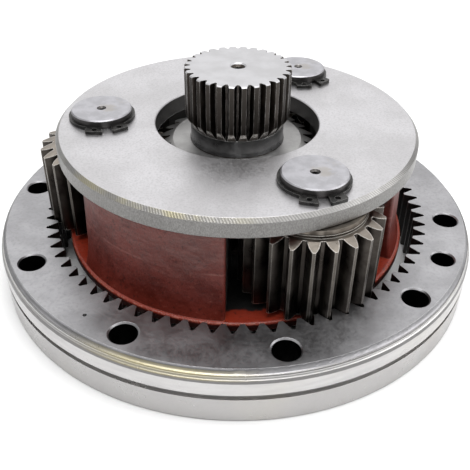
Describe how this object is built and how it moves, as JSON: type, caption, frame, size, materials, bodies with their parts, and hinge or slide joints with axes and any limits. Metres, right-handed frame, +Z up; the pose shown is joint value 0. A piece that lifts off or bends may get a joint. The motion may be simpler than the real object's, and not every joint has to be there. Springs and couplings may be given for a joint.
{
  "type": "planetary gear set",
  "caption": "Planetary gear set: splined sun shaft and planet gears in a red cast carrier, standing in an internally toothed ring gear with a bolt circle.",
  "frame": {"origin": "on the gear axis, at the ring gear's lower face", "axes": "+Z up along the gear axis, towards the splined input shaft; a tooth space of the ring gear and a web of the carrier lie along +X"},
  "size_m": [0.366, 0.366, 0.1576],
  "materials": {
    "ground_ring_steel": "satin, ground faces",
    "carrier_casting": "semi-gloss red oxide paint, machined plate bare",
    "sun_steel": "dark hardened steel, ground end faces",
    "planet_steel": "hobbed, lightly oiled",
    "pin_steel": "ground, satin",
    "spring_steel": "black phosphated spring steel",
    "washer_steel": "satin hardened steel",
    "roller_steel": "polished"
  },
  "bodies": {
    "ring": {"ring_gear": "ground_ring_steel"},
    "carrier": {"planet_carrier": "carrier_casting", "sun_thrust_washer": "washer_steel", "planet_pin_1": "pin_steel", "upper_circlip_1": "spring_steel", "lower_circlip_1": "spring_steel", "upper_thrust_washer_1": "washer_steel", "lower_thrust_washer_1": "washer_steel", "planet_pin_2": "pin_steel", "upper_circlip_2": "spring_steel", "lower_circlip_2": "spring_steel", "upper_thrust_washer_2": "washer_steel", "lower_thrust_washer_2": "washer_steel", "planet_pin_3": "pin_steel", "upper_circlip_3": "spring_steel", "lower_circlip_3": "spring_steel", "upper_thrust_washer_3": "washer_steel", "lower_thrust_washer_3": "washer_steel"},
    "sun": {"sun_gear_shaft": "sun_steel"},
    "planet_1": {"planet_gear_1": "planet_steel"},
    "rollers_1": {"needle_rollers_1": "roller_steel"},
    "planet_2": {"planet_gear_2": "planet_steel"},
    "rollers_2": {"needle_rollers_2": "roller_steel"},
    "planet_3": {"planet_gear_3": "planet_steel"},
    "rollers_3": {"needle_rollers_3": "roller_steel"}
  },
  "joints": [
    {"name": "carrier_spin", "type": "hinge", "parent": "ring", "child": "carrier", "pos_m": [0, 0, 0.06], "axis": [0, 0, 1], "continuous": true},
    {"name": "sun_spin", "type": "hinge", "parent": "ring", "child": "sun", "pos_m": [0, 0, 0.1], "axis": [0, 0, 1], "continuous": true},
    {"name": "planet_1_spin", "type": "hinge", "parent": "carrier", "child": "planet_1", "pos_m": [0.05, 0.0866, 0.067], "axis": [0, 0, 1], "continuous": true},
    {"name": "rollers_1_spin", "type": "hinge", "parent": "carrier", "child": "rollers_1", "pos_m": [0.05, 0.0866, 0.067], "axis": [0, 0, 1], "continuous": true},
    {"name": "planet_2_spin", "type": "hinge", "parent": "carrier", "child": "planet_2", "pos_m": [-0.1, 0, 0.067], "axis": [0, 0, 1], "continuous": true},
    {"name": "rollers_2_spin", "type": "hinge", "parent": "carrier", "child": "rollers_2", "pos_m": [-0.1, 0, 0.067], "axis": [0, 0, 1], "continuous": true},
    {"name": "planet_3_spin", "type": "hinge", "parent": "carrier", "child": "planet_3", "pos_m": [0.05, -0.0866, 0.067], "axis": [0, 0, 1], "continuous": true},
    {"name": "rollers_3_spin", "type": "hinge", "parent": "carrier", "child": "rollers_3", "pos_m": [0.05, -0.0866, 0.067], "axis": [0, 0, 1], "continuous": true}
  ],
  "couplings": [
    {"joint": "sun_spin", "follows": "carrier_spin", "ratio": 3.6667},
    {"joint": "planet_1_spin", "follows": "carrier_spin", "ratio": -3.2727},
    {"joint": "rollers_1_spin", "follows": "carrier_spin", "ratio": -1.8345},
    {"joint": "planet_2_spin", "follows": "carrier_spin", "ratio": -3.2727},
    {"joint": "rollers_2_spin", "follows": "carrier_spin", "ratio": -1.8345},
    {"joint": "planet_3_spin", "follows": "carrier_spin", "ratio": -3.2727},
    {"joint": "rollers_3_spin", "follows": "carrier_spin", "ratio": -1.8345}
  ]
}
